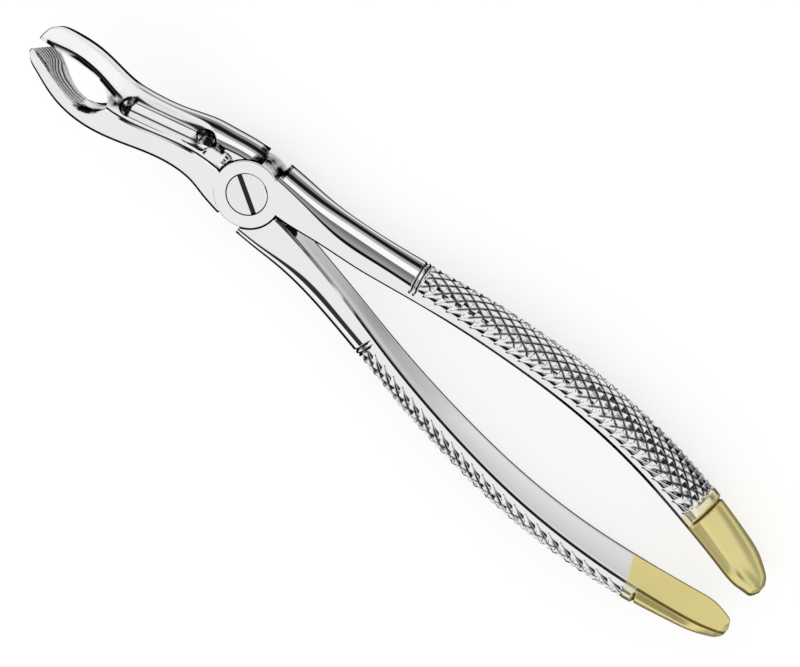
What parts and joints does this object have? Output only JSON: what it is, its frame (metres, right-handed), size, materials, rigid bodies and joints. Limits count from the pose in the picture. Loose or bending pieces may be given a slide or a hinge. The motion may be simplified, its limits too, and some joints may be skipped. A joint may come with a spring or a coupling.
{
  "type": "extraction forceps",
  "caption": "Dental extraction forceps: bayonet-bent hollow beaks on a lap joint, with knurled, gold-tipped handles.",
  "frame": {"origin": "on the pivot axis, on the back face of the lap joint", "axes": "+X towards the beaks, +Z along the pivot axis to the screw's head, +Y to the side of the front half's beak"},
  "size_m": [0.1763, 0.0348, 0.0244],
  "materials": {
    "polished_steel": "mirror polished",
    "knurled_steel": "knurled and polished",
    "gold_plate": "polished gold plate",
    "screw_steel": "polished, turned face"
  },
  "bodies": {
    "back_forging": {"back_half": "polished_steel", "back_grip": "knurled_steel", "back_gold_end": "gold_plate", "joint_screw": "screw_steel"},
    "front_forging": {"front_half": "polished_steel", "front_grip": "knurled_steel", "front_gold_end": "gold_plate"}
  },
  "joints": [
    {"name": "jaw_pivot", "type": "hinge", "parent": "back_forging", "child": "front_forging", "pos_m": [0, 0, 0], "axis": [0, 0, 1], "range_deg": [0, 30]}
  ]
}
